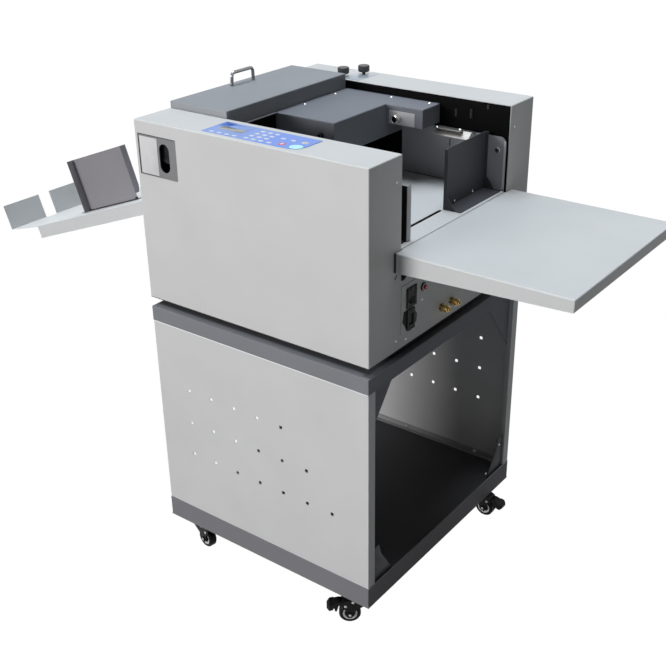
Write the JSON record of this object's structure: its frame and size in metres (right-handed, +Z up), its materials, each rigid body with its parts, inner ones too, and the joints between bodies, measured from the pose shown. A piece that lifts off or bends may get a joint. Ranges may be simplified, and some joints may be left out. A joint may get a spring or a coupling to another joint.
{
  "type": "paper creasing machine",
  "caption": "Paper creasing machine on a castor stand, with a suction feed head, lifting infeed table, hinged cover and sloping output tray.",
  "frame": {"origin": "on the floor, under the middle of the machine's bounding box, trays included", "axes": "+X along the trays towards the infeed tray, +Y away from the operator, +Z up"},
  "size_m": [1.7708, 0.6819, 1.1305],
  "materials": {
    "housing_paint": "satin",
    "stand_paint": "satin",
    "dark_paint": "matte",
    "grey_paint": "satin",
    "black_paint": "matte",
    "steel": "brushed",
    "chrome": "polished",
    "brass": "turned",
    "rubber": "matte",
    "black_plastic": "matte",
    "red_plastic": "gloss",
    "blue_film": "gloss",
    "wheel_rubber": "satin",
    "aluminium": "satin"
  },
  "bodies": {
    "machine": {"stand_base": "dark_paint", "stand_top_frame": "dark_paint", "stand_front_panel": "stand_paint", "stand_rear_panel": "stand_paint", "stand_gussets": "dark_paint", "base_pan": "dark_paint", "rubber_feet": "rubber", "front_side_frame": "black_paint", "rear_side_frame": "black_paint", "front_housing": "housing_paint", "rear_housing": "housing_paint", "infeed_end_panel": "housing_paint", "output_end_panel": "housing_paint", "cross_wall": "black_paint", "access_plate": "grey_paint", "control_panel": "blue_film", "power_panel": "housing_paint", "power_inlet": "black_plastic", "air_fittings": "brass", "feed_head_cover": "grey_paint", "separator_nozzle": "steel", "vacuum_pump": "aluminium", "rear_side_guide": "steel", "infeed_tray": "housing_paint", "output_tray": "housing_paint", "drive_motor": "aluminium", "crease_die": "steel"},
    "cover": {"top_cover": "grey_paint", "cover_handle": "chrome"},
    "table": {"infeed_table": "housing_paint"},
    "lift_screw": {"elevator_screw": "steel"},
    "stack_stop": {"infeed_backstop": "black_paint"},
    "stack_guide": {"front_side_guide": "black_paint"},
    "delivery_stop": {"output_backstop": "grey_paint"},
    "left_knob": {"left_air_knob": "black_plastic"},
    "right_knob": {"right_air_knob": "black_plastic"},
    "head_knob": {"head_air_knob": "black_plastic"},
    "side_knob": {"head_side_knob": "black_plastic"},
    "power_rocker": {"rocker_switch": "black_plastic"},
    "reset_button": {"breaker_button": "red_plastic"},
    "outfeed_lower": {"outfeed_roller_lower": "steel"},
    "outfeed_upper": {"outfeed_roller_upper": "steel"},
    "infeed_lower": {"infeed_roller_lower": "steel"},
    "infeed_upper": {"infeed_roller_upper": "steel"},
    "idler": {"idler_gear": "steel"},
    "pinion": {"motor_pinion": "steel"},
    "crank": {"cam_shaft": "steel", "handwheel": "black_plastic"},
    "blade": {"blade_holder": "steel"},
    "drum": {"suction_drum": "aluminium"},
    "fork_front_right": {"castor_fork_front_right": "black_plastic"},
    "wheel_front_right": {"castor_wheel_front_right": "wheel_rubber"},
    "pedal_front_right": {"castor_pedal_front_right": "black_plastic"},
    "fork_rear_right": {"castor_fork_rear_right": "black_plastic"},
    "wheel_rear_right": {"castor_wheel_rear_right": "wheel_rubber"},
    "pedal_rear_right": {"castor_pedal_rear_right": "black_plastic"},
    "fork_front_left": {"castor_fork_front_left": "black_plastic"},
    "wheel_front_left": {"castor_wheel_front_left": "wheel_rubber"},
    "fork_rear_left": {"castor_fork_rear_left": "black_plastic"},
    "wheel_rear_left": {"castor_wheel_rear_left": "wheel_rubber"}
  },
  "joints": [
    {"name": "cover_hinge", "type": "hinge", "parent": "machine", "child": "cover", "pos_m": [0.0495, 0.023, 1.072], "axis": [0, 1, 0], "range_deg": [0, 80]},
    {"name": "table_lift", "type": "slide", "parent": "machine", "child": "table", "axis": [0, 0, 1], "range_m": [0, 0.085]},
    {"name": "lift_screw_turn", "type": "hinge", "parent": "machine", "child": "lift_screw", "pos_m": [0.3095, 0.023, 0.7], "axis": [0, 0, 1], "range_deg": [-1, 6130]},
    {"name": "stack_stop_slide", "type": "slide", "parent": "table", "child": "stack_stop", "axis": [1, 0, 0], "range_m": [-0.03, 0.006]},
    {"name": "stack_guide_slide", "type": "slide", "parent": "table", "child": "stack_guide", "axis": [0, 1, 0], "range_m": [0, 0.185]},
    {"name": "delivery_stop_slide", "type": "slide", "parent": "machine", "child": "delivery_stop", "axis": [0, 1, 0], "range_m": [-0.04, 0.18]},
    {"name": "left_knob_turn", "type": "hinge", "parent": "machine", "child": "left_knob", "pos_m": [0.027, 0.267, 1.092], "axis": [0, 0, 1], "range_deg": [-135, 135]},
    {"name": "right_knob_turn", "type": "hinge", "parent": "machine", "child": "right_knob", "pos_m": [0.0565, 0.311, 1.092], "axis": [0, 0, 1], "range_deg": [-135, 135]},
    {"name": "head_knob_turn", "type": "hinge", "parent": "machine", "child": "head_knob", "pos_m": [0.2545, 0.158, 1.033], "axis": [0, -1, 0], "range_deg": [-135, 135]},
    {"name": "side_knob_turn", "type": "hinge", "parent": "machine", "child": "side_knob", "pos_m": [0.1895, -0.038, 1.03], "axis": [0, -1, 0], "range_deg": [-135, 135]},
    {"name": "rocker_tilt", "type": "hinge", "parent": "machine", "child": "power_rocker", "pos_m": [0.5015, -0.1527, 0.7715], "axis": [0, 1, 0], "range_deg": [0, 20]},
    {"name": "reset_press", "type": "slide", "parent": "machine", "child": "reset_button", "axis": [-1, 0, 0], "range_m": [0, 0.003], "stiffness_N_per_m": 300, "springref_m": -0.002},
    {"name": "idler_turn", "type": "hinge", "parent": "machine", "child": "idler", "pos_m": [-0.026, 0.245, 0.96], "axis": [0, 1, 0], "continuous": true},
    {"name": "pinion_turn", "type": "hinge", "parent": "machine", "child": "pinion", "pos_m": [-0.026, 0.245, 0.915], "axis": [0, 1, 0], "continuous": true},
    {"name": "crank_turn", "type": "hinge", "parent": "machine", "child": "crank", "pos_m": [-0.026, 0.023, 1.019], "axis": [0, 1, 0], "continuous": true},
    {"name": "blade_stroke", "type": "slide", "parent": "machine", "child": "blade", "axis": [0, 0, -1], "range_m": [0, 0.0026], "stiffness_N_per_m": 5000, "springref_m": -0.01},
    {"name": "drum_turn", "type": "hinge", "parent": "machine", "child": "drum", "pos_m": [0.1395, 0.1, 1.005], "axis": [0, 1, 0], "continuous": true},
    {"name": "outfeed_lower_turn", "type": "hinge", "parent": "machine", "child": "outfeed_lower", "pos_m": [-0.07475, 0.023, 0.96], "axis": [0, 1, 0], "continuous": true},
    {"name": "outfeed_upper_turn", "type": "hinge", "parent": "machine", "child": "outfeed_upper", "pos_m": [-0.07475, 0.023, 0.9904], "axis": [0, 1, 0], "continuous": true},
    {"name": "infeed_lower_turn", "type": "hinge", "parent": "machine", "child": "infeed_lower", "pos_m": [0.02275, 0.023, 0.96], "axis": [0, 1, 0], "continuous": true},
    {"name": "infeed_upper_turn", "type": "hinge", "parent": "machine", "child": "infeed_upper", "pos_m": [0.02275, 0.023, 0.9904], "axis": [0, 1, 0], "continuous": true},
    {"name": "swivel_front_right", "type": "hinge", "parent": "machine", "child": "fork_front_right", "pos_m": [0.4722, -0.2835, 0.065], "axis": [0, 0, 1], "continuous": true},
    {"name": "roll_front_right", "type": "hinge", "parent": "fork_front_right", "child": "wheel_front_right", "pos_m": [0.45092, -0.30012, 0.025], "axis": [0.6157, -0.788, 0], "continuous": true},
    {"name": "brake_front_right", "type": "hinge", "parent": "fork_front_right", "child": "pedal_front_right", "pos_m": [0.43989, -0.30874, 0.053], "axis": [0.6157, -0.788, 0], "range_deg": [0, 12]},
    {"name": "swivel_rear_right", "type": "hinge", "parent": "machine", "child": "fork_rear_right", "pos_m": [0.4722, 0.2355, 0.065], "axis": [0, 0, 1], "continuous": true},
    {"name": "roll_rear_right", "type": "hinge", "parent": "fork_rear_right", "child": "wheel_rear_right", "pos_m": [0.4992, 0.2355, 0.025], "axis": [0, 1, 0], "continuous": true},
    {"name": "brake_rear_right", "type": "hinge", "parent": "fork_rear_right", "child": "pedal_rear_right", "pos_m": [0.5132, 0.2355, 0.053], "axis": [0, 1, 0], "range_deg": [0, 12]},
    {"name": "swivel_front_left", "type": "hinge", "parent": "machine", "child": "fork_front_left", "pos_m": [-0.0278, -0.2835, 0.065], "axis": [0, 0, 1], "continuous": true},
    {"name": "roll_front_left", "type": "hinge", "parent": "fork_front_left", "child": "wheel_front_left", "pos_m": [-0.00121, -0.28819, 0.025], "axis": [0.1736, 0.9848, 0], "continuous": true},
    {"name": "swivel_rear_left", "type": "hinge", "parent": "machine", "child": "fork_rear_left", "pos_m": [-0.0278, 0.2355, 0.065], "axis": [0, 0, 1], "continuous": true},
    {"name": "roll_rear_left", "type": "hinge", "parent": "fork_rear_left", "child": "wheel_rear_left", "pos_m": [-0.05118, 0.249, 0.025], "axis": [-0.5, -0.866, 0], "continuous": true}
  ],
  "couplings": [
    {"joint": "lift_screw_turn", "follows": "table_lift", "rad_per_m": 1256.6},
    {"joint": "idler_turn", "follows": "outfeed_lower_turn", "ratio": -0.44444},
    {"joint": "pinion_turn", "follows": "outfeed_lower_turn", "ratio": 1.3333},
    {"joint": "infeed_lower_turn", "follows": "outfeed_lower_turn", "ratio": 1},
    {"joint": "outfeed_upper_turn", "follows": "outfeed_lower_turn", "ratio": -1},
    {"joint": "infeed_upper_turn", "follows": "outfeed_lower_turn", "ratio": -1}
  ]
}
